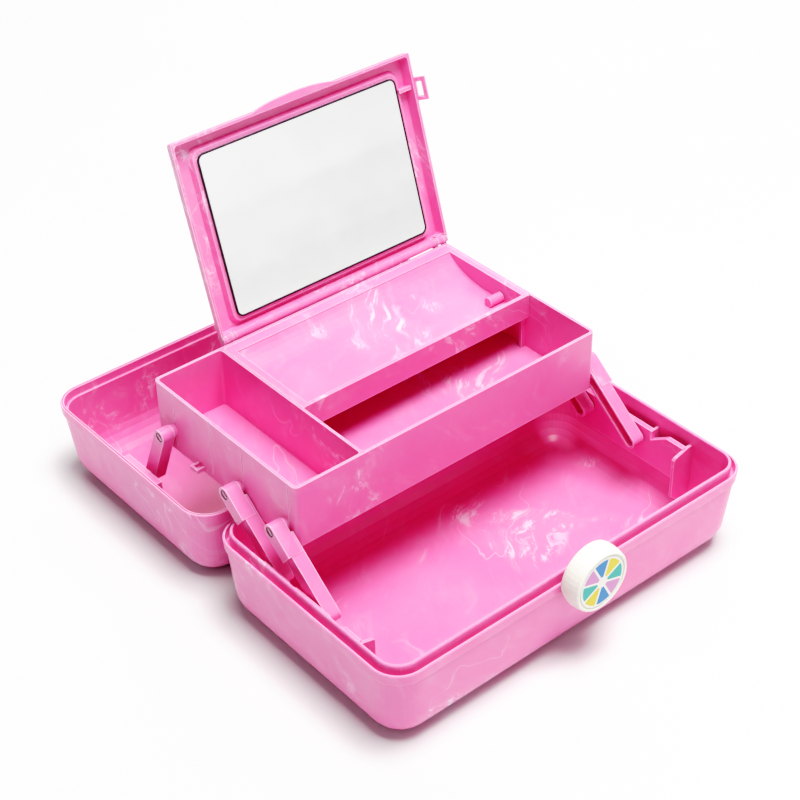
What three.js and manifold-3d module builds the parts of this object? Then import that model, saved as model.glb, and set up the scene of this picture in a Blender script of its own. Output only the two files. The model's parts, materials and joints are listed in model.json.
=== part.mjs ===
// A cosmetic train case, standing open: a moulded base tub, a lid tub hinged behind it, and a
// two-compartment tray that is carried on four parallel arms and steered by two links from the lid.
// A mirror flap is hinged on the tray, a round latch on the front wall, and a bail handle in the lid.
// Units are millimetres. +Z is up, +X runs along the rear hinge, +Y points from the front to the back.
// The origin is the centre of the base's underside.
import * as THREE from "three";
import { mergeVertices } from "three/addons/utils/BufferGeometryUtils.js";
import Module from "manifold-3d";

const wasm = await Module();
wasm.setup();

// ---- driving dimensions ----
const CASE_WIDTH = 330;
const CASE_DEPTH = 195;
const BASE_HEIGHT = 67.5; // to the outer rim
const LIP_TOP = 72; // the tongue inside the rim stands higher
const LID_HEIGHT = 66.3;
const CORNER_RADIUS = 22; // of the outline, at the rim
const LOW_CORNER_GROWTH = 6.6; // how much rounder the outline gets towards the floor
const RIM_GAP = 12; // between the two rear rims when the case lies open
const PANEL = 2.6; // thickness of the two big flat panels
const GAP = 0.3; // between pieces that touch

const HINGE_Y = CASE_DEPTH / 2 + RIM_GAP / 2;
const HINGE_Z = 67.2;
const LID_CENTRE_Y = CASE_DEPTH + RIM_GAP;
const HINGE_X = [-95, 95];
const BARREL_RADIUS = 4.2;
const HINGE_PIN_RADIUS = 1.9;

const TRAY_HALF_WIDTH = 137;
const TRAY_FRONT = 33.7;
const TRAY_BACK = 196.4;
const TRAY_TOP = 128.7;
const TRAY_HEIGHT = 50;
const TRAY_WALL = 2.2;
const TRAY_CORNER = 4;
const PARTITION_X = -79.5;
const STOP_Y = 144; // of the stops under the tray's side walls
const INSERT_FRONT = 100.3;

const ARM_LENGTH = 66.9;
const ARM_LEAN = 38.7; // degrees above the horizontal, leaning back
const ARM_RADIUS = 5.7;
const ARM_SPACING = 51.1;
const FRONT_ARM_FOOT = new THREE.Vector2(-5.5, 50);
const ARM_HEAD = [139.6, 150.5]; // the head's inner and outer faces, from the middle of the case
const ARM_SHANK = [137.6, 148];
const ARM_HEAD_LENGTH = 22;
const STUD_RADIUS = 2.6;
const STUD_HOLE_RADIUS = 2.95;
const LINK_HEAD_Y = 175;
const LINK_HEAD_Z = 96.2;
const LINK_LENGTH = 46.66;
const LINK_LEAN = 22.5; // degrees from the vertical, foot to the back
const BRACKET = [149.4, 153.6]; // base bracket plate, from the middle of the case
const LID_BRACKET = [153.8, 156.2];
const LINK_BAR = [140.8, 150.5];

const FLAP_TILT = 17.6; // degrees that the open mirror flap leans back
const FLAP_AXIS = new THREE.Vector2(199.9, 130.9);
const FLAP_X = [-75.5, 140];
const FLAP_LENGTH = 148;
const FLAP_FRONT = 1.8; // flange edge in front of the hinge axis
const FLAP_BACK = -8.5;
const FLAP_SKIN = 2;
const GLASS_X = [-55.5, 123.5];
const GLASS_SPAN = [10.6, 132.9];
const GLASS_THICKNESS = 2;

const LATCH_RADIUS = 23.8;
const LATCH_Z = 67.6;
const LATCH_FACE = -114;
const LATCH_BACK = -98.8;
const LATCH_PIN = new THREE.Vector2(-102.4, 54.2);

const HANDLE_POCKET = { width: 152, depth: 46, height: 7.4, cover: 2 };

// ---- materials ----
const plastic = (color, roughness) =>
  new THREE.MeshStandardMaterial({ color, roughness, metalness: 0 });
const PINK = 0xf06db4;
const PINK_SHELL = plastic(PINK, 0.35);
const PINK_TRAY = plastic(PINK, 0.38);
const PINK_ARM = plastic(0xf27fbd, 0.4);
const CREAM = plastic(0xf4efe6, 0.35);
const BADGE = plastic(0x6fc3bd, 0.45);
const STEEL = new THREE.MeshStandardMaterial({
  color: 0xb9bcc0,
  roughness: 0.3,
  metalness: 1,
});
const MIRROR = new THREE.MeshStandardMaterial({
  color: 0xe8eaea,
  roughness: 0.04,
  metalness: 1,
});

// ---- solids ----

// A closed geometry as a solid that can be joined and cut.
function solidOf(geometry) {
  const bare = new THREE.BufferGeometry();
  const flat = geometry.index ? geometry.toNonIndexed() : geometry;
  bare.setAttribute("position", flat.getAttribute("position"));
  const merged = mergeVertices(bare, 1e-4);
  const mesh = new wasm.Mesh({
    numProp: 3,
    vertProperties: merged.getAttribute("position").array,
    triVerts: new Uint32Array(merged.index.array),
  });
  return new wasm.Manifold(mesh);
}

function meshOf(name, solid, material) {
  const data = solid.getMesh();
  const geometry = new THREE.BufferGeometry();
  const position = new THREE.BufferAttribute(data.vertProperties, 3);
  geometry.setAttribute("position", position);
  geometry.setIndex(new THREE.BufferAttribute(data.triVerts, 1));
  geometry.computeVertexNormals();
  const mesh = new THREE.Mesh(geometry, material);
  mesh.name = name;
  return mesh;
}

const join = (first, ...rest) => rest.reduce((sum, s) => sum.add(s), first);
const cut = (first, ...rest) => rest.reduce((sum, s) => sum.subtract(s), first);

// A box between low and high values along each axis, in either order.
function box(x, y, z) {
  const size = [x, y, z].map(([a, b]) => Math.abs(b - a));
  const middle = [x, y, z].map(([a, b]) => (a + b) / 2);
  const geometry = new THREE.BoxGeometry(...size);
  geometry.translate(...middle);
  return solidOf(geometry);
}

// A round bar along X, between two X values.
function barX([x0, x1], y, z, radius, sides = 20) {
  const geometry = new THREE.CylinderGeometry(radius, radius, Math.abs(x1 - x0), sides);
  geometry.rotateZ(Math.PI / 2);
  geometry.translate((x0 + x1) / 2, y, z);
  return solidOf(geometry);
}

// An outline in the Y-Z plane, extruded between two X values.
function slabX(shape, [x0, x1], curveSegments = 8) {
  const depth = Math.abs(x1 - x0);
  const options = { depth, bevelEnabled: false, curveSegments };
  const geometry = new THREE.ExtrudeGeometry(shape, options);
  const axes = new THREE.Matrix4().set(0, 0, 1, Math.min(x0, x1), 1, 0, 0, 0, 0, 1, 0, 0, 0, 0, 0, 1);
  geometry.applyMatrix4(axes);
  return solidOf(geometry);
}

// An outline in the X-Z plane, extruded between two Y values.
function slabY(shape, [y0, y1], curveSegments = 16) {
  const options = { depth: Math.abs(y1 - y0), bevelEnabled: false, curveSegments };
  const geometry = new THREE.ExtrudeGeometry(shape, options);
  geometry.rotateX(Math.PI / 2);
  geometry.translate(0, Math.max(y0, y1), 0);
  return solidOf(geometry);
}

// An outline in the X-Y plane, extruded between two Z values.
function slabZ(shape, [z0, z1], curveSegments = 6) {
  const options = { depth: z1 - z0, bevelEnabled: false, curveSegments };
  const geometry = new THREE.ExtrudeGeometry(shape, options);
  geometry.translate(0, 0, z0);
  return solidOf(geometry);
}

const polygon = (points) => new THREE.Shape(points.map(([a, b]) => new THREE.Vector2(a, b)));

function roundedRectangle([x0, x1], [y0, y1], radius) {
  const shape = new THREE.Shape();
  shape.absarc(x1 - radius, y0 + radius, radius, -Math.PI / 2, 0);
  shape.absarc(x1 - radius, y1 - radius, radius, 0, Math.PI / 2);
  shape.absarc(x0 + radius, y1 - radius, radius, Math.PI / 2, Math.PI);
  shape.absarc(x0 + radius, y0 + radius, radius, Math.PI, 1.5 * Math.PI);
  return shape;
}

function circle(x, y, radius) {
  return new THREE.Shape().absarc(x, y, radius, 0, 2 * Math.PI);
}

// The outline of a bar with two round ends.
function stadium(a, b, radius) {
  const angle = Math.atan2(b.y - a.y, b.x - a.x);
  const shape = new THREE.Shape();
  shape.absarc(b.x, b.y, radius, angle - Math.PI / 2, angle + Math.PI / 2);
  shape.absarc(a.x, a.y, radius, angle + Math.PI / 2, angle + 1.5 * Math.PI);
  return shape;
}

// A tub with rounded corners: one closed skin through rings of [height, inset from the rim outline].
function tub(rings, rimHeight, lowHeight, centreY) {
  const cornerSteps = 10;
  const perRing = 4 * (cornerSteps + 1);
  const position = [];
  for (const [z, inset] of rings) {
    const depthShare = THREE.MathUtils.clamp((rimHeight - z) / (rimHeight - lowHeight), 0, 1);
    const radius = Math.max(0.6, CORNER_RADIUS + LOW_CORNER_GROWTH * depthShare - inset);
    const halfX = CASE_WIDTH / 2 - inset - radius;
    const halfY = CASE_DEPTH / 2 - inset - radius;
    for (let corner = 0; corner < 4; corner++) {
      const signX = corner === 0 || corner === 3 ? 1 : -1;
      const signY = corner < 2 ? 1 : -1;
      for (let step = 0; step <= cornerSteps; step++) {
        const angle = ((corner + step / cornerSteps) * Math.PI) / 2;
        const x = signX * halfX + radius * Math.cos(angle);
        const y = signY * halfY + radius * Math.sin(angle);
        position.push(x, centreY + y, z);
      }
    }
  }
  const index = [];
  for (let ring = 0; ring < rings.length - 1; ring++) {
    for (let i = 0; i < perRing; i++) {
      const a = ring * perRing + i;
      const b = ring * perRing + ((i + 1) % perRing);
      index.push(a, b, b + perRing, a, b + perRing, a + perRing);
    }
  }
  const lastRing = (rings.length - 1) * perRing;
  for (let i = 1; i < perRing - 1; i++) {
    index.push(0, i + 1, i);
    index.push(lastRing, lastRing + i, lastRing + i + 1);
  }
  const geometry = new THREE.BufferGeometry();
  geometry.setAttribute("position", new THREE.Float32BufferAttribute(position, 3));
  geometry.setIndex(index);
  return solidOf(geometry);
}

// Rings of a quarter-round edge between a flat panel and a wall.
function roundedEdge(panelZ, wallInset, radius, steps, outward) {
  const rings = [];
  for (let i = 0; i <= steps; i++) {
    const angle = ((outward ? i : steps - i) / steps) * (Math.PI / 2);
    const z = panelZ + radius * (1 - Math.cos(angle));
    const inset = wallInset + radius * (1 - Math.sin(angle));
    rings.push([z, inset]);
  }
  return rings;
}

// The space inside a tub's outer skin, which trims what is moulded onto the walls.
function within(rimHeight, lowHeight, centreY) {
  const rings = [...roundedEdge(1, 5, 25, 6, true), [rimHeight, 3]];
  return tub(rings, rimHeight, lowHeight, centreY);
}

// ---- the base ----

const SIDES = [
  ["left", -1],
  ["right", 1],
];
const onSide = (sign, [inner, outer]) => [sign * inner, sign * outer];

const armDirection = new THREE.Vector2(
  Math.cos(THREE.MathUtils.degToRad(ARM_LEAN)),
  Math.sin(THREE.MathUtils.degToRad(ARM_LEAN)),
);
const REAR_ARM_FOOT = FRONT_ARM_FOOT.clone().add(new THREE.Vector2(ARM_SPACING, 0));
const headOf = (foot) => foot.clone().addScaledVector(armDirection, ARM_LENGTH);

// The rib that carries the arms' lower pivots, with its webs to the side wall and the front arm rest.
function baseBracket(sign) {
  const outline = polygon([
    [-46.5, 30],
    [60, 30],
    [60, 54],
    [56, 60],
    [28.5, 60],
    [26.5, 55],
    [23.5, 55],
    [21.5, 60],
    [-15, 60],
    [-16, 52],
    [-31, 61.5],
    [-46.5, 61.5],
  ]);
  const plate = slabX(outline, onSide(sign, BRACKET));
  const webs = [-15.2, 20.5, 58].map((y) =>
    box(onSide(sign, [BRACKET[0] + 0.5, 162]), [y - 1, y + 1], [30, 59.6]),
  );
  const restOutline = polygon([
    [sign * 139.5, 23],
    [sign * 139.5, 56.2],
    [sign * 141, 57.8],
    [sign * 151, 60.4],
    [sign * 153.6, 61.5],
    [sign * 161, 61.5],
    [sign * 161, 15],
    [sign * 152, 12],
  ]);
  const rest = slabY(restOutline, [-48.5, -46.2]);
  const studs = [FRONT_ARM_FOOT, REAR_ARM_FOOT].map((foot) =>
    barX(onSide(sign, [141.4, BRACKET[0] + 0.6]), foot.x, foot.y, STUD_RADIUS),
  );
  return join(plate, rest, ...webs, ...studs);
}

// The two ears on the front wall that hold the latch pin.
function latchEars() {
  const outline = new THREE.Shape();
  outline.moveTo(-94.5, LATCH_PIN.y - 3.2);
  outline.lineTo(-94.5, LATCH_PIN.y + 6);
  outline.lineTo(LATCH_PIN.x, LATCH_PIN.y + 3.4);
  outline.absarc(LATCH_PIN.x, LATCH_PIN.y, 3.2, Math.PI / 2, 1.5 * Math.PI);
  const ears = [-1, 1].map((sign) => slabX(outline, onSide(sign, [7.6, 10.4])));
  const bore = barX([-12, 12], LATCH_PIN.x, LATCH_PIN.y, 1.9);
  return ears.map((ear) => cut(ear, bore));
}

// Barrels of a case hinge, each on a short leaf that grows out of a rear rim.
function hingeBarrel([x0, x1], rimY) {
  const barrel = barX([x0, x1], HINGE_Y, HINGE_Z, BARREL_RADIUS, 16);
  const leaf = box([x0, x1], [HINGE_Y, rimY], [HINGE_Z - BARREL_RADIUS, HINGE_Z - 0.4]);
  const bore = barX([x0 - 1, x1 + 1], HINGE_Y, HINGE_Z, HINGE_PIN_RADIUS + GAP, 16);
  return cut(join(barrel, leaf), bore);
}

function buildBase() {
  const rings = [
    ...roundedEdge(0, 3.2, 25, 6, true),
    [57.8, 1.6],
    [58.8, 0.7],
    [60.2, 0.2],
    [66.8, 0],
    [BASE_HEIGHT, 0.6],
    [BASE_HEIGHT, 1.7],
    [61.5, 2.1],
    [61.5, 4.9],
    [71.2, 5.2],
    [LIP_TOP, 5.8],
    [LIP_TOP, 7],
    [71.2, 7.4],
    [62, 7.2],
    [50, 5.9],
    ...roundedEdge(PANEL, 6.4, 22, 6, false),
  ];
  const shell = tub(rings, BASE_HEIGHT, 25, 0);
  const rearRim = CASE_DEPTH / 2 - 1;
  const barrels = HINGE_X.flatMap((x) => [
    hingeBarrel([x - 18, x - 8.3], rearRim),
    hingeBarrel([x + 8.3, x + 18], rearRim),
  ]);
  const brackets = join(baseBracket(-1), baseBracket(1)).intersect(within(BASE_HEIGHT, 25, 0));
  return join(shell, brackets, ...latchEars(), ...barrels);
}

// ---- the lid, lying on its back behind the base ----

const linkDirection = new THREE.Vector2(
  Math.sin(THREE.MathUtils.degToRad(LINK_LEAN)),
  -Math.cos(THREE.MathUtils.degToRad(LINK_LEAN)),
);
const LINK_HEAD = new THREE.Vector2(LINK_HEAD_Y, LINK_HEAD_Z);
const LINK_FOOT = LINK_HEAD.clone().addScaledVector(linkDirection, LINK_LENGTH);

function lidBracket(sign) {
  const { x: y, y: z } = LINK_FOOT;
  const span = [y - 21, y + 21];
  const shelfTop = 60.2;
  const plate = box(onSide(sign, LID_BRACKET), span, [5, shelfTop]);
  const shelf = box(onSide(sign, [LID_BRACKET[0], 162]), span, [shelfTop - 2.2, shelfTop]);
  const webs = span.map((end, i) =>
    box(onSide(sign, [LID_BRACKET[0], 162]), [end, end + (i ? -2 : 2)], [6, shelfTop]),
  );
  const hole = barX(onSide(sign, [150, 158]), y, z, STUD_HOLE_RADIUS);
  return cut(join(plate, shelf, ...webs), hole);
}

const HANDLE_AXIS = { y: LID_CENTRE_Y - 14.5, z: 4.1 };
const HANDLE_PIN_X = [68.6, 79.6];

function buildLid() {
  const rings = [
    ...roundedEdge(0, 4, 24, 6, true),
    [56.8, 1.6],
    [57.8, 0.7],
    [59, 0.2],
    [65.6, 0],
    [LID_HEIGHT, 0.5],
    [LID_HEIGHT, 1],
    [65.1, 1.2],
    [65.1, 1.9],
    [LID_HEIGHT, 2.1],
    [LID_HEIGHT, 2.7],
    [65.8, 3],
    [59.8, 3.1],
    [59.6, 4.9],
    [50, 5],
    ...roundedEdge(PANEL, 6.2, 21, 6, false),
  ];
  const shell = tub(rings, LID_HEIGHT, 24, LID_CENTRE_Y);
  const { width, depth, height, cover } = HANDLE_POCKET;
  const span = (size, wall) => [-size / 2 - wall, size / 2 + wall];
  const middle = ([low, high]) => [LID_CENTRE_Y + low, LID_CENTRE_Y + high];
  const swell = slabZ(
    roundedRectangle(span(width, 2.2), middle(span(depth, 2.2)), 10),
    [1, height + cover],
  );
  const pocket = slabZ(
    roundedRectangle(span(width, 0), middle(span(depth, 0)), 8),
    [-1, height],
  );
  const bosses = [-1, 1].map((sign) => {
    const ends = onSide(sign, [width / 2 - 2, width / 2 + 6]);
    return box(ends, [HANDLE_AXIS.y - 5, HANDLE_AXIS.y + 5], [1.2, height + cover]);
  });
  const pinBores = [-1, 1].map((sign) =>
    barX(onSide(sign, [66, 80]), HANDLE_AXIS.y, HANDLE_AXIS.z, 1.5, 12),
  );
  const barrels = HINGE_X.map((x) => hingeBarrel([x - 8, x + 8], HINGE_Y + RIM_GAP / 2 + 1));
  const room = within(LID_HEIGHT, 24, LID_CENTRE_Y);
  const brackets = join(lidBracket(-1), lidBracket(1)).intersect(room);
  const body = join(shell, swell, ...bosses, brackets, ...barrels);
  return cut(body, pocket, ...pinBores);
}

// ---- the carrying handle, folded into its pocket ----

function buildHandle() {
  const { y, z } = HANDLE_AXIS;
  const grip = slabZ(
    roundedRectangle([-73.5, 73.5], [y + 18, y + 32], 6),
    [1.2, 7],
  );
  const legs = [-1, 1].map((sign) => {
    const outline = stadium(new THREE.Vector2(y, z), new THREE.Vector2(y + 22, z), 2.9);
    return slabX(outline, onSide(sign, [62.5, 73.5]));
  });
  const bores = [-1, 1].map((sign) => barX(onSide(sign, [66, 75]), y, z, 1.5, 12));
  return cut(join(grip, ...legs), ...bores);
}

// ---- the tray ----

// A moulded snap stud on the tray's side wall: spacer, shank and a slotted head.
function trayStud(sign, at, spacerEnd) {
  const spacer = barX(onSide(sign, [TRAY_HALF_WIDTH - 1, spacerEnd]), at.x, at.y, 5);
  const shank = barX(onSide(sign, [TRAY_HALF_WIDTH - 1, 149.6]), at.x, at.y, STUD_RADIUS);
  const head = barX(onSide(sign, [148, 149.6]), at.x, at.y, 3.3);
  const slot = box(onSide(sign, [146, 151]), [at.x - 0.5, at.x + 0.5], [at.y - 5, at.y + 5]);
  return join(spacer, cut(join(shank, head), slot));
}

// The stop at the bottom edge of each side wall: two ribs joined by a bar at their outer ends.
function trayStop(sign) {
  const root = TRAY_HALF_WIDTH - 1;
  const tip = TRAY_HALF_WIDTH + 6.6;
  const heights = [TRAY_TOP - TRAY_HEIGHT + 1.8, TRAY_TOP - TRAY_HEIGHT + 5.2];
  const outside = box([sign * root, sign * tip], [STOP_Y - 4, STOP_Y + 4], heights);
  const inside = box([0, sign * (tip - 1.6)], [STOP_Y - 2.4, STOP_Y + 2.4], [0, 200]);
  const bare = box([sign * root, sign * tip], [STOP_Y - 5, STOP_Y + 5], heights).intersect(inside);
  return cut(outside, bare);
}

const SUPPORT_RIB = { width: 6, height: 29.4 };
const MIRROR_HINGE_X = [-69.5, 132.5];
const EAR_RADIUS = 3.3;

// A pair of ears behind the tray's rear wall that hold one mirror hinge pin.
function mirrorEars(x) {
  const outline = new THREE.Shape();
  outline.moveTo(TRAY_BACK - 1, TRAY_TOP - 12);
  outline.lineTo(TRAY_BACK + 2, TRAY_TOP - 12);
  outline.lineTo(FLAP_AXIS.x + 3.2, FLAP_AXIS.y - 2);
  outline.absarc(FLAP_AXIS.x, FLAP_AXIS.y, EAR_RADIUS, 0, 1.25 * Math.PI);
  outline.lineTo(TRAY_BACK - 1, TRAY_TOP - 2);
  const ears = [
    [x - 5.4, x - 3],
    [x + 3, x + 5.4],
  ].map((span) => slabX(outline, span));
  const bore = barX([x - 6, x + 6], FLAP_AXIS.x, FLAP_AXIS.y, 1.6, 12);
  return ears.map((ear) => cut(ear, bore));
}

function buildTray() {
  const floor = TRAY_TOP - TRAY_HEIGHT;
  const sides = [-TRAY_HALF_WIDTH, TRAY_HALF_WIDTH];
  const outer = slabZ(
    roundedRectangle(sides, [TRAY_FRONT, TRAY_BACK], TRAY_CORNER),
    [floor, TRAY_TOP],
    4,
  );
  const innerY = [TRAY_FRONT + TRAY_WALL, TRAY_BACK - TRAY_WALL];
  const compartments = [
    [-TRAY_HALF_WIDTH + TRAY_WALL, PARTITION_X - TRAY_WALL / 2],
    [PARTITION_X + TRAY_WALL / 2, TRAY_HALF_WIDTH - TRAY_WALL],
  ].map((innerX) => slabZ(roundedRectangle(innerX, innerY, 2.5), [floor + TRAY_WALL, 140], 3));
  const grooves = [41.5, 92.5, 129.5, 172.5].map((y) =>
    box([-TRAY_HALF_WIDTH - 1, -TRAY_HALF_WIDTH + 0.5], [y, y + 0.9], [floor + 5, 140]),
  );
  const supports = [PARTITION_X + 0.5, TRAY_HALF_WIDTH - 0.5 - SUPPORT_RIB.width].map((x) =>
    box([x, x + SUPPORT_RIB.width], [INSERT_FRONT + 3, INSERT_FRONT + 5.2], [floor + 1, floor + SUPPORT_RIB.height]),
  );
  const catchBump = box([TRAY_HALF_WIDTH - 1, 138.9], [56, 61], [124.6, 127.4]);
  const studs = SIDES.flatMap(([, sign]) => [
    trayStud(sign, headOf(FRONT_ARM_FOOT), ARM_HEAD[0] - GAP),
    trayStud(sign, headOf(REAR_ARM_FOOT), ARM_HEAD[0] - GAP),
    trayStud(sign, LINK_HEAD, LINK_BAR[0] - GAP),
    trayStop(sign),
  ]);
  const box3 = cut(outer, ...compartments, ...grooves);
  return join(box3, ...supports, catchBump, ...studs, ...MIRROR_HINGE_X.flatMap(mirrorEars));
}

// The shallow dish that fills the rear of the right compartment: a rim, a scooped floor and an apron.
function buildInsert() {
  const skin = 2;
  const outerX = [PARTITION_X + TRAY_WALL / 2 + GAP, TRAY_HALF_WIDTH - TRAY_WALL - GAP];
  const outerY = [INSERT_FRONT, TRAY_BACK - TRAY_WALL - GAP];
  const scoopX = [outerX[0] + 5.5, outerX[1] - 4.5];
  const scoopY = [outerY[0] + 3, outerY[1] - 9];
  const floor = TRAY_TOP - 15.5;
  const scoop = (offset) => {
    const shape = new THREE.Shape();
    shape.moveTo(scoopY[0] - offset, TRAY_TOP + 2);
    shape.lineTo(scoopY[0] - offset, floor + 3);
    shape.quadraticCurveTo(scoopY[0] - offset, floor - offset, scoopY[0] + 5, floor - offset);
    shape.lineTo(scoopY[0] + 34, floor - offset);
    shape.quadraticCurveTo(scoopY[1] - 15, floor - offset, scoopY[1] + offset, TRAY_TOP - 1);
    shape.lineTo(scoopY[1] + offset, TRAY_TOP + 2);
    return shape;
  };
  const rim = slabZ(roundedRectangle(outerX, outerY, 2.2), [TRAY_TOP - skin, TRAY_TOP], 3);
  const apron = box(outerX, [outerY[0], outerY[0] + skin], [floor - 4.5, TRAY_TOP - 0.5]);
  const skinX = [scoopX[0] - skin, scoopX[1] + skin];
  const below = box(outerX, outerY, [floor - 5, TRAY_TOP - 0.5]);
  const bowl = slabX(scoop(skin), skinX, 10).intersect(below);
  const hollow = slabX(scoop(0), scoopX, 10);
  const rest = barX([outerX[1] - 18, outerX[1] - 5], 126, floor + 3.5, 4, 14);
  return join(cut(join(rim, apron, bowl), hollow), rest);
}

// ---- arms and links ----

function buildArm(sign, foot) {
  const head = headOf(foot);
  const shankEnd = head.clone().addScaledVector(armDirection, -4);
  const shank = slabX(stadium(foot, shankEnd, ARM_RADIUS - 0.5), onSide(sign, ARM_SHANK));
  const across = new THREE.Vector2(-armDirection.y, armDirection.x).multiplyScalar(ARM_RADIUS);
  const step = head.clone().addScaledVector(armDirection, -ARM_HEAD_LENGTH);
  const angle = THREE.MathUtils.degToRad(ARM_LEAN);
  const outline = new THREE.Shape();
  outline.moveTo(step.x + across.x, step.y + across.y);
  outline.lineTo(step.x - across.x, step.y - across.y);
  outline.absarc(head.x, head.y, ARM_RADIUS, angle - Math.PI / 2, angle + Math.PI / 2);
  const headBlock = slabX(outline, onSide(sign, ARM_HEAD));
  // the shank stops short of the head's inner face, clear of the tray's spacer
  const clearance = barX(onSide(sign, [136, ARM_HEAD[0]]), head.x, head.y, ARM_RADIUS + 3);
  const pocketTop = head.clone().addScaledVector(armDirection, -15);
  const pocket = slabX(stadium(foot, pocketTop, 3.6), onSide(sign, [136, 144.6]));
  const holes = [foot, head].map((at) =>
    barX(onSide(sign, [136, 152]), at.x, at.y, STUD_HOLE_RADIUS),
  );
  const counterbore = barX(onSide(sign, [147.4, 152]), head.x, head.y, 4);
  return cut(join(shank, headBlock), clearance, pocket, ...holes, counterbore);
}

function buildLink(sign) {
  const bar = slabX(stadium(LINK_FOOT, LINK_HEAD, ARM_RADIUS), onSide(sign, LINK_BAR));
  const hole = barX(onSide(sign, [136, 152]), LINK_HEAD.x, LINK_HEAD.y, STUD_HOLE_RADIUS);
  const counterbore = barX(onSide(sign, [147.4, 152]), LINK_HEAD.x, LINK_HEAD.y, 4);
  const stud = barX(onSide(sign, [149, 153.4]), LINK_FOOT.x, LINK_FOOT.y, STUD_RADIUS);
  return join(cut(bar, hole, counterbore), stud);
}

// ---- the mirror flap, built flat in its own plane and then tilted about the hinge axis ----
// In the flap's plane, "up" runs from the hinge to the free edge and "out" points at the viewer.

const flapToWorld = new THREE.Matrix4()
  .makeTranslation(0, FLAP_AXIS.x, FLAP_AXIS.y)
  .multiply(new THREE.Matrix4().makeRotationX(THREE.MathUtils.degToRad(-FLAP_TILT)));

// A box in flap terms: x, out (towards the viewer is -Y before tilting), up.
const flapBox = (x, out, up) => box(x, [-out[0], -out[1]], up);

function placed(solid) {
  const data = solid.getMesh();
  const geometry = new THREE.BufferGeometry();
  geometry.setAttribute("position", new THREE.BufferAttribute(data.vertProperties, 3));
  geometry.setIndex(new THREE.BufferAttribute(data.triVerts, 1));
  geometry.applyMatrix4(flapToWorld);
  return solidOf(geometry);
}

// A rounded plate that tapers from its front outline to a smaller back outline.
function taperedPlate(x, up, [front, back], taper, radius) {
  const shape = roundedRectangle(x, up, radius);
  const options = { depth: 1, bevelEnabled: false, curveSegments: 5 };
  const geometry = new THREE.ExtrudeGeometry(shape, options);
  const middleX = (x[0] + x[1]) / 2;
  const middleUp = (up[0] + up[1]) / 2;
  const narrowX = 1 - (2 * taper) / (x[1] - x[0]);
  const narrowUp = 1 - (2 * taper) / (up[1] - up[0]);
  const p = geometry.getAttribute("position");
  for (let i = 0; i < p.count; i++) {
    const isBack = p.getZ(i) < 0.5;
    const sx = isBack ? narrowX : 1;
    const su = isBack ? narrowUp : 1;
    const px = middleX + (p.getX(i) - middleX) * sx;
    const pu = middleUp + (p.getY(i) - middleUp) * su;
    p.setXYZ(i, px, isBack ? -back : -front, pu);
  }
  return solidOf(geometry);
}

// The catch loop beside the flap: a windowed tongue that leans outward and to the front.
function catchLoop() {
  const lean = new THREE.Vector2(0.6, -0.8);
  const across = new THREE.Vector2(0.8, 0.6).multiplyScalar(0.95);
  const root = new THREE.Vector2(FLAP_X[1] - 0.9, 0.2);
  const plate = (from, to, up, fatten) => {
    const a = root.clone().addScaledVector(lean, from);
    const b = root.clone().addScaledVector(lean, to);
    const side = across.clone().multiplyScalar(fatten);
    const corners = [a.clone().sub(side), b.clone().sub(side), b.clone().add(side), a.clone().add(side)];
    return slabZ(new THREE.Shape(corners), up);
  };
  return cut(plate(0, 10.4, [110.6, 128.6], 1), plate(2.9, 7.1, [114, 125.2], 3));
}

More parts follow.
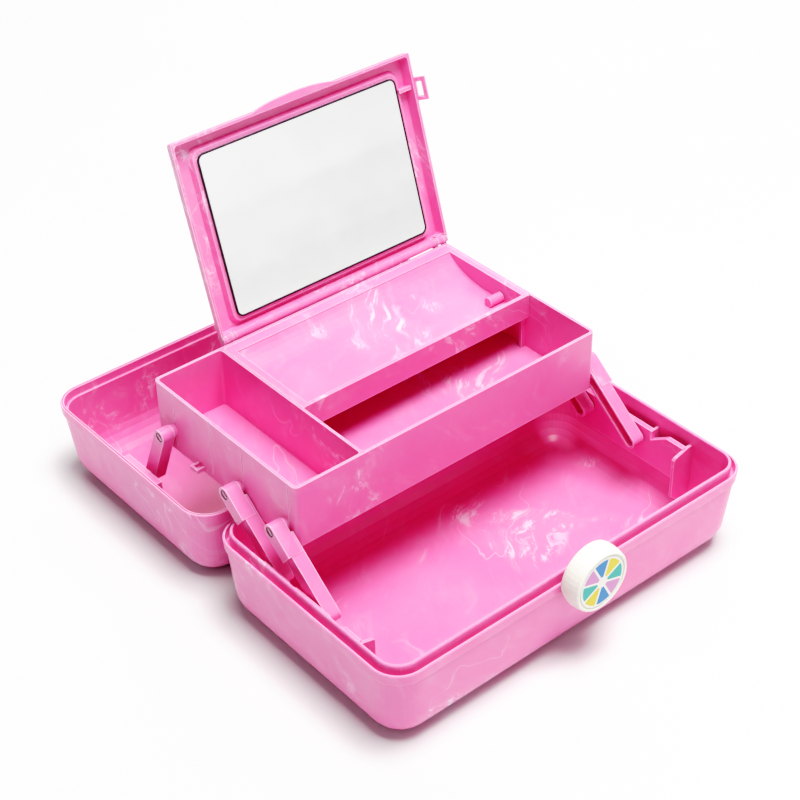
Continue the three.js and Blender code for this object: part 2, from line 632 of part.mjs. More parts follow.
function buildFlap() {
  const up = [-0.5, FLAP_LENGTH];
  const edgeBreak = FLAP_BACK + 4.4;
  const wall = taperedPlate(FLAP_X, up, [FLAP_FRONT, edgeBreak], 0.5, 1.4);
  const shrink = ([low, high], by) => [low + by, high - by];
  const backPart = taperedPlate(shrink(FLAP_X, 0.5), shrink(up, 0.5), [edgeBreak + 0.01, FLAP_BACK], 2.6, 3);
  const innerX = shrink(FLAP_X, FLAP_SKIN);
  const innerUp = shrink(up, FLAP_SKIN);
  const hollow = taperedPlate(innerX, innerUp, [FLAP_FRONT + 1, FLAP_BACK + FLAP_SKIN], 2.2, 3);
  const platformX = [GLASS_X[0] - 3.4, GLASS_X[1] + 3.4];
  const platformUp = [GLASS_SPAN[0] - 3.4, GLASS_SPAN[1] + 3.4];
  const seat = -1.2 - GLASS_THICKNESS - GAP;
  const platform = taperedPlate(platformX, platformUp, [seat + 1, FLAP_BACK + 0.5], -3, 7);
  const bed = taperedPlate(
    [GLASS_X[0] - 0.6, GLASS_X[1] + 0.6],
    [GLASS_SPAN[0] - 0.6, GLASS_SPAN[1] + 0.6],
    [seat + 3, seat],
    0,
    5.6,
  );
  const backRecess = taperedPlate(
    [platformX[0] + 2, platformX[1] - 2],
    [platformUp[0] + 2, platformUp[1] - 2],
    [seat - FLAP_SKIN, FLAP_BACK - 1],
    -3,
    5,
  );
  const shelf = flapBox([GLASS_X[1] + 2, FLAP_X[1] - 1], [-0.4, FLAP_BACK + 1], [120.2, 123.2]);
  const thumb = new THREE.Shape();
  thumb.moveTo(-8, FLAP_LENGTH - 1);
  thumb.quadraticCurveTo(0, FLAP_LENGTH + 2.2, 14, FLAP_LENGTH + 3.4);
  thumb.quadraticCurveTo(38, FLAP_LENGTH + 5, 56, FLAP_LENGTH + 2.8);
  thumb.quadraticCurveTo(66, FLAP_LENGTH + 1.2, 74, FLAP_LENGTH - 1);
  const thumbTab = slabY(thumb, [-FLAP_FRONT, -FLAP_FRONT + 1.8], 5);
  const bead = barX([FLAP_X[0] + 1, FLAP_X[1] - 1], 0, 0, EAR_RADIUS - 0.2, 14);
  const knuckles = MIRROR_HINGE_X.map((x) =>
    join(
      barX([x - 2.7, x + 2.7], 0, 0, EAR_RADIUS, 14),
      flapBox([x - 2.7, x + 2.7], [0.5, -4], [0, 4]),
    ),
  );
  const earRoom = MIRROR_HINGE_X.map((x) => barX([x - 5.9, x + 5.9], 0, 0, EAR_RADIUS + 0.6, 16));
  const bores = MIRROR_HINGE_X.map((x) => barX([x - 4, x + 4], 0, 0, 1.6, 12));
  const pan = cut(join(wall, backPart), hollow);
  const body = join(pan, platform, shelf, thumbTab, bead);
  const whole = join(cut(body, bed, backRecess, ...earRoom), catchLoop(), ...knuckles);
  return placed(cut(whole, ...bores));
}

function buildGlass() {
  const back = -1.2 - GLASS_THICKNESS;
  return placed(taperedPlate(GLASS_X, GLASS_SPAN, [-1.2, back], 0, 5));
}

// ---- the latch ----

function buildLatch() {
  const skin = 2.4;
  const front = LATCH_FACE;
  const back = LATCH_BACK;
  const radius = LATCH_RADIUS;
  const profile = [
    [0, front + 1.2],
    [radius - 3.4, front + 1.2],
    [radius - 3.2, front + 0.2],
    [radius - 2.6, front],
    [radius - 1.6, front],
    [radius - 0.7, front + 1],
    [radius + 0.2, front + 5],
    [radius + 0.5, front + 9],
    [radius + 0.3, back - 2],
    [radius - 0.3, back],
    [radius - skin, back],
    [radius - skin, front + 3.6],
    [0, front + 3.6],
  ];
  const outline = profile.map(([r, y]) => new THREE.Vector2(r, -y));
  const geometry = new THREE.LatheGeometry(outline.reverse(), 40);
  geometry.rotateX(Math.PI);
  geometry.translate(0, 0, LATCH_Z);
  const chin = polygon([
    [-104, LATCH_Z - 30],
    [-104, 56],
    [back - 0.1, 66],
    [back + 1, 66],
    [back + 1, LATCH_Z - 30],
  ]);
  const cup = cut(solidOf(geometry), slabX(chin, [-40, 40]));
  const { x: pinY, y: pinZ } = LATCH_PIN;
  const lug = new THREE.Shape();
  lug.moveTo(LATCH_FACE + 3, pinZ + 3.2);
  lug.lineTo(LATCH_FACE + 3, pinZ - 1);
  lug.lineTo(pinY - 2, pinZ - 3);
  lug.absarc(pinY, pinZ, 3.2, -Math.PI / 2, Math.PI / 2);
  const hinge = cut(slabX(lug, [-7.2, 7.2]), barX([-8, 8], pinY, pinZ, 1.9));
  const hook = new THREE.Shape();
  hook.moveTo(LATCH_FACE + 3, 81.4);
  hook.lineTo(LATCH_FACE + 3, 77.4);
  hook.lineTo(-98.4, 77.4);
  hook.lineTo(-96.7, 77.9);
  hook.lineTo(-96.7, 79.4);
  hook.lineTo(-98.4, 80.6);
  return join(cup, hinge, slabX(hook, [-9, 9]));
}

function buildBadge() {
  const y = [LATCH_FACE + 0.35, LATCH_FACE + 1.2 - GAP];
  return slabY(circle(0, LATCH_Z, LATCH_RADIUS - 3.9), y, 20);
}

// ---- assembly ----

function build() {
  const group = new THREE.Group();
  const add = (name, solid, material) => group.add(meshOf(name, solid, material));
  add("base_shell", buildBase(), PINK_SHELL);
  add("lid_shell", buildLid(), PINK_SHELL);
  add("tray", buildTray(), PINK_TRAY);
  add("insert_dish", buildInsert(), PINK_TRAY);
  add("mirror_flap", buildFlap(), PINK_TRAY);
  add("mirror_glass", buildGlass(), MIRROR);
  for (const [side, sign] of SIDES) {
    add(`front_arm_${side}`, buildArm(sign, FRONT_ARM_FOOT), PINK_ARM);
    add(`rear_arm_${side}`, buildArm(sign, REAR_ARM_FOOT), PINK_ARM);
    add(`lid_link_${side}`, buildLink(sign), PINK_ARM);
    const hingeX = HINGE_X[sign < 0 ? 0 : 1];
    const casePin = barX([hingeX - 17.6, hingeX + 17.6], HINGE_Y, HINGE_Z, HINGE_PIN_RADIUS, 16);
    add(`case_hinge_pin_${side}`, casePin, STEEL);
    const flapX = MIRROR_HINGE_X[sign < 0 ? 0 : 1];
    const flapPin = barX([flapX - 5.2, flapX + 5.2], FLAP_AXIS.x, FLAP_AXIS.y, 1.3, 12);
    add(`mirror_hinge_pin_${side}`, flapPin, STEEL);
    const handlePin = barX(onSide(sign, HANDLE_PIN_X), HANDLE_AXIS.y, HANDLE_AXIS.z, 1.2, 12);
    add(`handle_pin_${side}`, handlePin, STEEL);
  }
  add("handle", buildHandle(), CREAM);
  add("latch", buildLatch(), CREAM);
  add("latch_badge", buildBadge(), BADGE);
  add("latch_pin", barX([-10, 10], LATCH_PIN.x, LATCH_PIN.y, 1.6, 12), STEEL);
  return group;
}

export default build();
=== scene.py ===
import json
import math

import bmesh
import bpy
from mathutils import Matrix, Vector


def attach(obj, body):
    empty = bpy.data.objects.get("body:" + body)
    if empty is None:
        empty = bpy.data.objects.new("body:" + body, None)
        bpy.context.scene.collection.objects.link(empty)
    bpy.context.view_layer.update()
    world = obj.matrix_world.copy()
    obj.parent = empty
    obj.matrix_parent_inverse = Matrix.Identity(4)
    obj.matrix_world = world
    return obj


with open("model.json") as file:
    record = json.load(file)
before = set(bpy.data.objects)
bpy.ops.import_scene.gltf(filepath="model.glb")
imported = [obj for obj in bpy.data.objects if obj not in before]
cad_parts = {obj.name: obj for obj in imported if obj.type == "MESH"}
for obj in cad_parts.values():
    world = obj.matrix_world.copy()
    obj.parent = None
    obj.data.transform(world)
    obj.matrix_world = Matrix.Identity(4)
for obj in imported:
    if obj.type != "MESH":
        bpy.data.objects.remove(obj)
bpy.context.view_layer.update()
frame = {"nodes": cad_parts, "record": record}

# ---------- camera and lights ----------

CAMERA_PLACE = Vector((-0.67124, -0.71987, 0.88302))
CAMERA_AZIMUTH = math.radians(39.62)
CAMERA_ELEVATION = math.radians(36.57)
CAMERA_ROLL = math.radians(-1.01)
LENS_MM = 82.77

SKY_STRENGTH = 0.18
# name, place, target, size and watts
LAMPS = [
    ("key", (0.22, -0.5, 4.0), (0, 0.05, 0), (2.0, 2.0), 412),
    ("back", (1.35, 1.75, 1.55), (0.0, 0.05, 0.05), (2.2, 1.5), 34),
    ("fill", (-2.4, -0.9, 2.9), (0.0, 0.05, 0.05), (2.0, 2.0), 18),
]

# The mirror looks at a white card. It is dimmer lower down, where the lit floor beyond it adds its own light.
CARD_PLACE = (0.455, -0.5)
CARD_TARGET = (0.03, 0.22)
CARD_WIDTH = 0.75
# bottom, top and radiance of each strip
CARD_STRIPS = [
    (0.215, 0.335, 1.60), (0.165, 0.215, 1.43), (0.14, 0.165, 1.35),
    (0.125, 0.14, 1.18), (0.112, 0.125, 1.00), (0.07, 0.112, 0.80),
]

# How the camera answers to light: a deep toe and a long, soft shoulder. Scene light on the left of each pair.
WHITE_LIGHT = 4.0
RESPONSE = [
    (0, 0), (0.04, 0.003), (0.08, 0.015), (0.12, 0.037), (0.2, 0.098),
    (0.3, 0.18), (0.4, 0.262), (0.6, 0.41), (0.8, 0.54), (1.0, 0.64),
    (1.45, 0.82), (1.75, 0.93), (2.1, 0.985), (2.6, 1.0), (4.0, 1.0),
]

# The floor runs up into a wall in front of the case through a cove.
FLOOR_REACH = 12
COVE_START_Y = -3.5
COVE_RADIUS = 1.5
COVE_STEPS = 12
FLAT_MARGIN = 0.2  # a last flat strip, so that smooth shading leaves the floor level
WALL_TOP = 4.0

# ---------- colours, linear unless given as display hexadecimals ----------

PINK = (0.91, 0.225, 0.485)
DEEP_PINK = (0.90, 0.200, 0.46)
PALE = (0.97, 0.62, 0.82)
SATIN = 0.34  # roughness of the plain plastics
EDGE_RADIUS = 0.0005
SHARP_ANGLE = math.radians(35)
WELD_GAP = 0.00001

# ---------- places of the new pieces, in metres ----------

FLAP_AXIS_Y = 0.1999
FLAP_AXIS_Z = 0.1309
FLAP_TILT = math.radians(17.6)
GLASS_ACROSS = (-0.0555, 0.1235)
GLASS_UP = (0.0106, 0.1329)
GLASS_CORNER = 0.005
# the mirror's dark line of painted shade: growth beyond the glass, and height out of the flap's face
EDGE_SECTION = [(-0.0006, -0.0016), (0.0007, -0.0016), (0.0007, -0.0010), (-0.0006, -0.0010)]

STUD_PLACES = [(0.04671, 0.09183), (0.09781, 0.09183), (0.175, 0.0962)]  # y and z of the tray's snap studs
ARM_SLOPE = math.radians(38.7)
# distance from the stud's axis, and from the middle of the case
CUP_PROFILE = [
    (0.00385, 0.14962), (0.00385, 0.14985), (0.0036, 0.15), (0.0031, 0.14988), (0.0012, 0.14984),
]
CUP_STEPS = 32
# inset, and distance from the middle of the case
KEY_SECTION = [(0.0, 0.1497), (0.0, 0.1501), (0.00018, 0.15028)]
KEY_STEPS = 24
KEY_HALF_LENGTH = 0.0029
KEY_HALF_WIDTH = 0.00062

LATCH_CENTRE_Z = 0.0676
WEDGES = 8
WEDGE_COLOURS = 4
WEDGE_TURN = 0.3
WEDGE_GAP = (0.0009, 0.0012)
BADGE_HUB = (0.0044, 0.0047)
BADGE_RIM = (0.0178, 0.0182)


def make_camera():
    forward = Vector((
        math.sin(CAMERA_AZIMUTH) * math.cos(CAMERA_ELEVATION),
        math.cos(CAMERA_AZIMUTH) * math.cos(CAMERA_ELEVATION),
        -math.sin(CAMERA_ELEVATION),
    ))
    level = Vector((math.cos(CAMERA_AZIMUTH), -math.sin(CAMERA_AZIMUTH), 0))
    upright = level.cross(forward)
    right = math.cos(CAMERA_ROLL) * level + math.sin(CAMERA_ROLL) * upright
    up = math.cos(CAMERA_ROLL) * upright - math.sin(CAMERA_ROLL) * level
    data = bpy.data.cameras.new("camera")
    data.lens = LENS_MM
    data.sensor_width = 36
    data.clip_start = 0.05
    data.clip_end = 20
    camera = bpy.data.objects.new("camera", data)
    turn = Matrix((right, up, -forward)).transposed()
    camera.matrix_world = Matrix.Translation(CAMERA_PLACE) @ turn.to_4x4()
    bpy.context.collection.objects.link(camera)
    bpy.context.scene.camera = camera


def area_light(name, place, target, size, watts):
    data = bpy.data.lights.new(name, "AREA")
    data.shape = "RECTANGLE"
    data.size, data.size_y = size
    data.energy = watts
    lamp = bpy.data.objects.new(name, data)
    lamp.location = place
    aim = Vector(target) - Vector(place)
    lamp.rotation_euler = aim.to_track_quat("-Z", "Y").to_euler()
    lamp.visible_camera = False
    bpy.context.collection.objects.link(lamp)


def make_lamps():
    world = bpy.data.worlds.new("studio")
    world.use_nodes = True
    background = world.node_tree.nodes["Background"]
    background.inputs["Color"].default_value = (1, 1, 1, 1)
    background.inputs["Strength"].default_value = SKY_STRENGTH
    bpy.context.scene.world = world
    for lamp in LAMPS:
        area_light(*lamp)
    for i, (bottom, top, radiance) in enumerate(CARD_STRIPS):
        middle = (bottom + top) / 2
        size = (CARD_WIDTH, top - bottom)
        watts = radiance * math.pi * size[0] * size[1]
        area_light("white_card_%d" % (i + 1), (*CARD_PLACE, middle), (*CARD_TARGET, middle), size, watts)


def set_response():
    view = bpy.context.scene.view_settings
    view.view_transform = "Standard"
    view.use_curve_mapping = True
    response = view.curve_mapping
    response.white_level = (WHITE_LIGHT,) * 3
    curve = response.curves[3]
    while len(curve.points) < len(RESPONSE):
        curve.points.new(0.5, 0.5)
    for point, (light, shown) in zip(curve.points, RESPONSE):
        point.location = (light / WHITE_LIGHT, shown)
    response.update()


def make_floor():
    profile = [(FLOOR_REACH, 0), (COVE_START_Y + FLAT_MARGIN, 0), (COVE_START_Y, 0)]
    for i in range(1, COVE_STEPS + 1):
        angle = math.radians(90 * i / COVE_STEPS)
        profile.append((
            COVE_START_Y - COVE_RADIUS * math.sin(angle),
            COVE_RADIUS - COVE_RADIUS * math.cos(angle),
        ))
    profile.append((COVE_START_Y - COVE_RADIUS, WALL_TOP))
    points = [(x, y, z) for y, z in profile for x in (FLOOR_REACH, -FLOOR_REACH)]
    faces = [(2 * i, 2 * i + 1, 2 * i + 3, 2 * i + 2) for i in range(len(profile) - 1)]
    mesh = bpy.data.meshes.new("floor")
    mesh.from_pydata(points, [], faces)
    mesh.polygons.foreach_set("use_smooth", [True] * len(faces))
    floor = bpy.data.objects.new("floor", mesh)
    bpy.context.collection.objects.link(floor)
    floor.data.materials.append(studio_paper())


# ---------- materials ----------

class Nodes:
    """A new material's node tree, with short calls to add and link its nodes."""

    def __init__(self, name):
        self.material = bpy.data.materials.new(name)
        self.material.use_nodes = True
        self.tree = self.material.node_tree
        self.shader = self.tree.nodes["Principled BSDF"]

    def set(self, socket, value):
        self.shader.inputs[socket].default_value = value

    def drive(self, socket, source):
        self.link(source, self.shader.inputs[socket])

    def add(self, kind, **settings):
        node = self.tree.nodes.new(kind)
        for key, value in settings.items():
            setattr(node, key, value)
        return node

    def link(self, source, target):
        self.tree.links.new(source, target)

    def coords(self, scale=(1, 1, 1), turn=(0, 0, 0), shift=(0, 0, 0)):
        place = self.add("ShaderNodeTexCoord")
        mapping = self.add("ShaderNodeMapping")
        mapping.inputs["Scale"].default_value = scale
        mapping.inputs["Rotation"].default_value = turn
        mapping.inputs["Location"].default_value = shift
        self.link(place.outputs["Object"], mapping.inputs["Vector"])
        return mapping.outputs["Vector"]

    def noise(self, vector, scale, detail=3.0, roughness=0.5, output="Fac"):
        node = self.add("ShaderNodeTexNoise")
        node.inputs["Scale"].default_value = scale
        node.inputs["Detail"].default_value = detail
        node.inputs["Roughness"].default_value = roughness
        self.link(vector, node.inputs["Vector"])
        return node.outputs[output]

    def math(self, operation, a, b=None, clamp=False):
        node = self.add("ShaderNodeMath", operation=operation, use_clamp=clamp)
        for socket, value in zip(node.inputs, (a, b)):
            if value is None:
                continue
            if isinstance(value, (int, float)):
                socket.default_value = value
            else:
                self.link(value, socket)
        return node.outputs["Value"]

    def times(self, a, b):
        return self.math("MULTIPLY", a, b)

    def plus(self, a, b, clamp=False):
        return self.math("ADD", a, b, clamp=clamp)

    def ramp(self, value, stops, interpolation="LINEAR"):
        node = self.add("ShaderNodeValToRGB")
        node.color_ramp.interpolation = interpolation
        elements = node.color_ramp.elements
        while len(elements) < len(stops):
            elements.new(0.5)
        for element, (position, colour) in zip(elements, stops):
            element.position = position
            element.color = (*colour, 1)
        self.link(value, node.inputs["Fac"])
        return node.outputs["Color"]

    def span(self, value, low, high, to_low=0.0, to_high=1.0):
        """A smooth step of the value from low to high."""
        node = self.add("ShaderNodeMapRange", interpolation_type="SMOOTHSTEP")
        numbers = (("From Min", low), ("From Max", high), ("To Min", to_low), ("To Max", to_high))
        for name, number in numbers:
            node.inputs[name].default_value = number
        self.link(value, node.inputs["Value"])
        return node.outputs["Result"]

    def ridge(self, value, width):
        """A thin line where the value crosses one half."""
        off = self.math("ABSOLUTE", self.math("SUBTRACT", value, 0.5))
        return self.span(off, 0.0, width, 1.0, 0.0)

    def mix(self, factor, first, second):
        node = self.add("ShaderNodeMix", data_type="RGBA")
        self.link(factor, node.inputs["Factor"])
        for socket, value in ((node.inputs[6], first), (node.inputs[7], second)):
            if isinstance(value, tuple):
                socket.default_value = (*value, 1)
            else:
                self.link(value, socket)
        return node.outputs[2]

    def bump(self, height, distance, strength=1.0):
        node = self.add("ShaderNodeBump")
        node.inputs["Distance"].default_value = distance
        node.inputs["Strength"].default_value = strength
        self.link(height, node.inputs["Height"])
        self.drive("Normal", node.outputs["Normal"])


def srgb(text):
    """A hexadecimal display colour as linear numbers."""
    parts = [int(text[i:i + 2], 16) / 255 for i in (0, 2, 4)]
    return tuple(c / 12.92 if c <= 0.04045 else ((c + 0.055) / 1.055) ** 2.4 for c in parts)


def marbled_plastic(name, shift, amount):
    """Moulded plastic with pale colour folded through it: feathery clumps of fine curling strands, and a
    painted highlight along its outer edges.
    """
    n = Nodes(name)
    flow = n.coords(turn=(0.3, 0.5, 0.8), shift=shift)
    centred = n.add("ShaderNodeVectorMath", operation="SUBTRACT")
    centred.inputs[1].default_value = (0.5, 0.5, 0.5)
    n.link(n.noise(flow, 11, 3, output="Color"), centred.inputs[0])
    swirl = n.add("ShaderNodeVectorMath", operation="SCALE")
    swirl.inputs["Scale"].default_value = 0.085
    n.link(centred.outputs[0], swirl.inputs[0])
    adding = n.add("ShaderNodeVectorMath", operation="ADD")
    n.link(flow, adding.inputs[0])
    n.link(swirl.outputs[0], adding.inputs[1])
    bent = adding.outputs[0]
    stretch = n.add("ShaderNodeMapping")
    stretch.inputs["Scale"].default_value = (1, 0.16, 0.4)
    n.link(bent, stretch.inputs["Vector"])
    drawn = stretch.outputs["Vector"]

    # feathery clumps: bundles of fine drawn-out fibres with a few bright strands
    clump = n.span(n.noise(bent, 10, 3, 0.6), 0.54, 0.64)
    strand = n.ridge(n.noise(drawn, 62, 5, 0.6), 0.018)
    fibres = n.span(n.noise(drawn, 150, 5, 0.7), 0.53, 0.62)
    feather = n.times(n.plus(n.times(fibres, 0.95), n.times(strand, 0.45), clamp=True), clump)
    # single long wavy lines that run on their own
    long_line = n.ridge(n.noise(drawn, 16, 3, 0.5), 0.0042)
    lines = n.times(long_line, n.span(n.noise(flow, 9, 2), 0.48, 0.6))
    # a faint grain of drawn-out pale colour everywhere
    grain = n.span(n.noise(drawn, 120, 4, 0.6), 0.5, 0.75)
    pigment_and_highlight = n.plus(n.times(feather, 0.75 * amount), n.times(lines, 0.4 * amount))
    pigment_and_highlight = n.plus(pigment_and_highlight, n.times(grain, 0.10 * amount))
    pigment_and_highlight = n.plus(pigment_and_highlight, n.times(clump, 0.06 * amount), clamp=True)
    # outer edges are painted paler as a painted edge highlight: rays sent inwards leave the wall only next to
    # such an edge
    edge_highlight_ao = n.add("ShaderNodeAmbientOcclusion", samples=6, inside=True, only_local=True)
    edge_highlight_ao.inputs["Distance"].default_value = 0.0008
    edge = n.times(n.span(edge_highlight_ao.outputs["AO"], 0.6, 0.95, 1.0, 0.0), 0.8)
    # from here the mix holds both the pale marbling and the painted edge highlight
    pigment_and_highlight = n.math("MAXIMUM", pigment_and_highlight, edge)
    mottled = n.ramp(n.noise(flow, 26, 4), [(0.35, DEEP_PINK), (0.65, PINK)])
    n.drive("Base Color", n.mix(pigment_and_highlight, mottled, PALE))
    n.drive("Roughness", n.span(n.noise(flow, 90, 3), 0.3, 0.7, 0.30, 0.42))
    n.bump(n.noise(flow, 600, 2), 0.00005)
    n.set("Specular IOR Level", 0.42)
    n.set("Coat Weight", 0.25)
    n.set("Coat Roughness", 0.25)
    n.set("Subsurface Weight", 0.3)
    n.set("Subsurface Radius", (1.0, 0.22, 0.45))
    n.set("Subsurface Scale", 0.005)
    return n.material


def plain_plastic(name, light, dark):
    n = Nodes(name)
    where = n.coords()
    n.drive("Base Color", n.ramp(n.noise(where, 45, 4), [(0.3, dark), (0.7, light)]))
    n.drive("Roughness", n.span(n.noise(where, 160, 3), 0.3, 0.7, SATIN - 0.05, SATIN + 0.06))
    n.bump(n.noise(where, 900, 2), 0.00004)
    return n.material


def silvered_glass():
    n = Nodes("mirror_glass")
    where = n.coords()
    tones = [(0.3, (0.70, 0.705, 0.70)), (0.7, (0.73, 0.735, 0.73))]
    n.drive("Base Color", n.ramp(n.noise(where, 30, 3), tones))
    n.set("Metallic", 1.0)
    n.drive("Roughness", n.span(n.noise(where, 60, 3), 0.3, 0.7, 0.05, 0.08))
    return n.material


def printed_badge():
    """A printed disc: a pinwheel of eight pastel wedges with pale gaps and a plain centre."""
    n = Nodes("badge_plastic")
    place = n.add("ShaderNodeTexCoord")
    split = n.add("ShaderNodeSeparateXYZ")
    n.link(place.outputs["Object"], split.inputs[0])
    across = split.outputs["X"]
    height = n.math("SUBTRACT", split.outputs["Z"], LATCH_CENTRE_Z)
    turn = n.plus(n.math("ARCTAN2", height, across), math.pi + WEDGE_TURN)
    wedge = n.times(turn, WEDGES / (2 * math.pi))
    share = n.math("FRACT", wedge)
    index = n.math("MODULO", n.math("FLOOR", wedge), float(WEDGE_COLOURS))
    inks = [(0.0, srgb("3FAFA4")), (0.2, srgb("E6D23F")), (0.45, srgb("3D83C4")), (0.7, srgb("D48CC4"))]
    colours = n.ramp(n.math("DIVIDE", index, float(WEDGE_COLOURS)), inks, "CONSTANT")
    radius = n.math("SQRT", n.plus(n.times(across, across), n.times(height, height)))
    from_middle = n.math("ABSOLUTE", n.math("SUBTRACT", share, 0.5))
    from_gap = n.times(n.math("SUBTRACT", 0.5, from_middle), radius)
    ink = n.times(n.span(from_gap, *WEDGE_GAP), n.span(radius, *BADGE_HUB))
    ink = n.times(ink, n.span(radius, *BADGE_RIM, 1.0, 0.0))
    speckle = n.noise(n.coords(), 900, 3)
    ground = n.ramp(speckle, [(0.3, srgb("F1EEE6")), (0.7, srgb("F7F5EF"))])
    n.drive("Base Color", n.mix(ink, ground, colours))
    n.drive("Roughness", n.span(speckle, 0.3, 0.7, 0.38, 0.48))
    n.bump(ink, 0.00005, 0.6)
    return n.material


def mirror_gap_shade():
    """The edge round the mirror glass, made dark as painted shade of the gap there."""
    n = Nodes("mirror_edge")
    where = n.coords()
    tones = [(0.35, (0.018, 0.006, 0.014)), (0.75, (0.07, 0.02, 0.05))]
    n.drive("Base Color", n.ramp(n.noise(where, 220, 4), tones))
    n.drive("Roughness", n.span(n.noise(where, 400, 3), 0.3, 0.7, 0.3, 0.5))
    n.bump(n.noise(where, 700, 3), 0.00008)
    return n.material


def drawn_steel():
    n = Nodes("pin_steel")
    along = n.coords(scale=(0.05, 1, 1))
    tones = [(0.3, (0.42, 0.43, 0.45)), (0.7, (0.62, 0.63, 0.65))]
    n.drive("Base Color", n.ramp(n.noise(along, 900, 3), tones))
    n.set("Metallic", 1.0)
    n.drive("Roughness", n.span(n.noise(along, 500, 3), 0.3, 0.7, 0.22, 0.38))
    return n.material


def studio_paper():
    n = Nodes("studio_paper")
    tones = [(0.3, (0.75, 0.75, 0.75)), (0.7, (0.78, 0.78, 0.78))]
    n.drive("Base Color", n.ramp(n.noise(n.coords(), 3, 3), tones))
    n.set("Roughness", 0.9)
    n.set("Specular IOR Level", 0.1)
    return n.material


# ---------- CAD nodes that are shown as they are ----------

def finish_node(name, material):
    """Gives a CAD node its material and slightly rounded edges."""
    node = frame["nodes"][name]
    node.data.materials.clear()
    node.data.materials.append(material)
    weld = node.modifiers.new("weld", "WELD")
    weld.merge_threshold = WELD_GAP
    bevel = node.modifiers.new("soft_edges", "BEVEL")
    bevel.width = EDGE_RADIUS
    bevel.segments = 2
    bevel.limit_method = "ANGLE"
    bevel.angle_limit = SHARP_ANGLE


# ---------- new pieces ----------

def mesh_piece(name, points, faces, material, body):
    mesh = bpy.data.meshes.new(name)
    mesh.from_pydata(points, [], faces)
    mesh.validate()
    mesh.polygons.foreach_set("use_smooth", [True] * len(mesh.polygons))
    mesh.materials.append(material)
    piece = bpy.data.objects.new(name, mesh)
    bpy.context.collection.objects.link(piece)
    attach(piece, body)
    return piece


def ring_faces(rings, count, closed=True):
    """Quads between successive rings of the same number of points; closed joins the last to the first."""
    faces = []
    for r in range(rings if closed else rings - 1):
        low = r * count
        high = ((r + 1) % rings) * count
        for i in range(count):
            j = (i + 1) % count
            faces.append((low + i, low + j, high + j, high + i))
    return faces


def flap_point(x, up, out):
    """A point given in the open flap's own directions: across, up its face, and out of its face."""
    y = FLAP_AXIS_Y - out * math.cos(FLAP_TILT) + up * math.sin(FLAP_TILT)
    z = FLAP_AXIS_Z + out * math.sin(FLAP_TILT) + up * math.cos(FLAP_TILT)
    return (x, y, z)


def rounded_outline(x, up, radius, steps=8):
    """Points round a rectangle with rounded corners, anticlockwise from the lower right."""
    centres = [
        (x[1] - radius, up[0] + radius, -0.5),
        (x[1] - radius, up[1] - radius, 0.0),
        (x[0] + radius, up[1] - radius, 0.5),
        (x[0] + radius, up[0] + radius, 1.0),
    ]
    points = []
    for cx, cu, start in centres:
        for i in range(steps + 1):
            angle = math.pi * (start + 0.5 * i / steps)
            points.append((cx + radius * math.cos(angle), cu + radius * math.sin(angle)))
    return points


def make_mirror_edge():
    """A thin dark rim round the glass, filling the gap between it and its bed; its darkness is painted shade.
    """
    points = []
    for grow, out in EDGE_SECTION:
        wide = (GLASS_ACROSS[0] - grow, GLASS_ACROSS[1] + grow)
        tall = (GLASS_UP[0] - grow, GLASS_UP[1] + grow)
        for px, pu in rounded_outline(wide, tall, GLASS_CORNER + grow):
            points.append(flap_point(px, pu, out))
    count = len(points) // len(EDGE_SECTION)
    faces = [tuple(reversed(f)) for f in ring_faces(len(EDGE_SECTION), count)]
    mesh_piece("mirror_edge", points, faces, mirror_gap_shade(), "mirror_flap")


def cup_outline(radius):
    """Offsets along and across the arm for a ring of the round cup."""
    turns = [2 * math.pi * i / CUP_STEPS for i in range(CUP_STEPS)]
    return [(radius * math.cos(turn), radius * math.sin(turn)) for turn in turns]


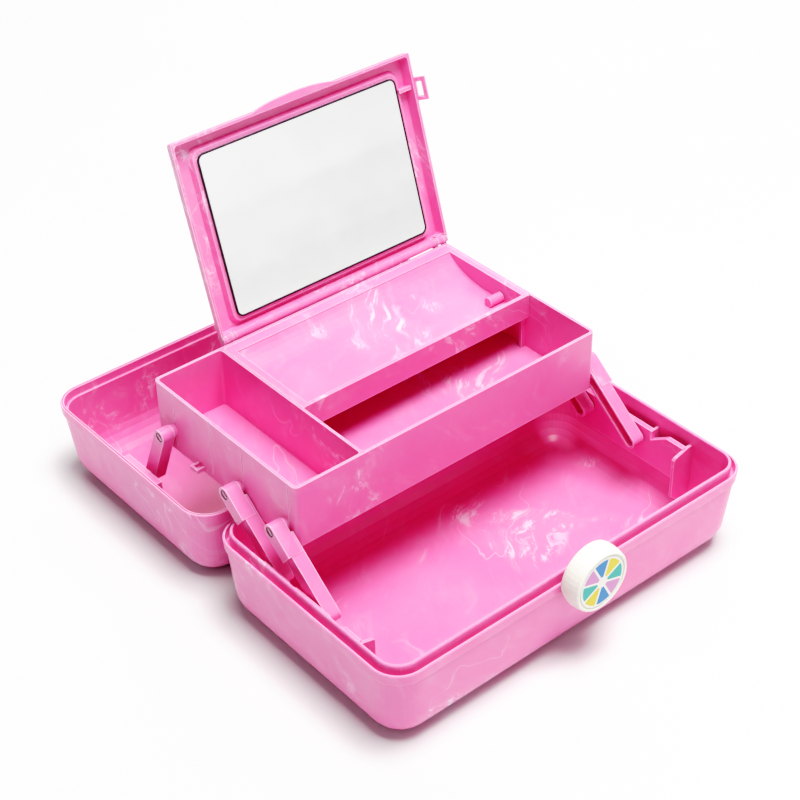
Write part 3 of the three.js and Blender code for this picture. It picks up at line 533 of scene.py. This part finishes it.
def key_outline(inset):
    """Offsets along and across the arm for a ring of the long, round-ended key."""
    reach = KEY_HALF_LENGTH - KEY_HALF_WIDTH
    radius = KEY_HALF_WIDTH - inset
    turns = [2 * math.pi * i / KEY_STEPS for i in range(KEY_STEPS)]
    return [
        (math.copysign(reach, math.cos(turn)) + radius * math.cos(turn), radius * math.sin(turn))
        for turn in turns
    ]


def make_stud_piece(name, outline, section, material):
    """One closed solid on each snap stud, all in one mesh, from rings of points at growing depth."""
    points = []
    faces = []
    for sign in (-1, 1):
        for y, z in STUD_PLACES:
            first = len(points)
            for size, depth in section:
                for along, aside in outline(size):
                    dy = along * math.cos(ARM_SLOPE) - aside * math.sin(ARM_SLOPE)
                    dz = along * math.sin(ARM_SLOPE) + aside * math.cos(ARM_SLOPE)
                    points.append((sign * depth, y + dy, z + dz))
            count = (len(points) - first) // len(section)
            last = len(points) - count
            walls = ring_faces(len(section), count, closed=False)
            faces.extend(tuple(first + v for v in face) for face in walls)
            faces.append(tuple(reversed(range(first, first + count))))
            faces.append(tuple(range(last, last + count)))
    piece = mesh_piece(name, points, faces, material, "tray")
    work = bmesh.new()
    work.from_mesh(piece.data)
    bmesh.ops.recalc_face_normals(work, faces=work.faces)
    work.to_mesh(piece.data)
    work.free()
    for polygon in piece.data.polygons:
        polygon.use_smooth = len(polygon.vertices) == 4


make_camera()
set_response()
make_lamps()
make_floor()

arm_pink = marbled_plastic("arm_plastic", (0.9, 0.4, 0.1), 0.5)
SLOT_MATERIALS = {
    "shell_plastic": marbled_plastic("shell_plastic", (0.1, 0.2, 0.3), 1.2),
    "tray_plastic": marbled_plastic("tray_plastic", (0.5, 0.1, 0.7), 1.2),
    "arm_plastic": arm_pink,
    "cream_plastic": plain_plastic("cream_plastic", srgb("F8F5EC"), srgb("F3EFE4")),
    "badge_plastic": printed_badge(),
    "mirror_glass": silvered_glass(),
    "pin_steel": drawn_steel(),
}
for part in frame["record"]["subparts"]:
    finish_node(part["node"], SLOT_MATERIALS[part["material_slot"]])

make_mirror_edge()
# The cups' dark magenta is painted shade: it stands for the shadowed gap round each stud.
stud_gap_shade = plain_plastic("stud_painted_shade", srgb("8E1450"), srgb("6E0A3A"))
make_stud_piece("stud_cups", cup_outline, CUP_PROFILE, stud_gap_shade)
make_stud_piece("stud_keys", key_outline, KEY_SECTION, arm_pink)
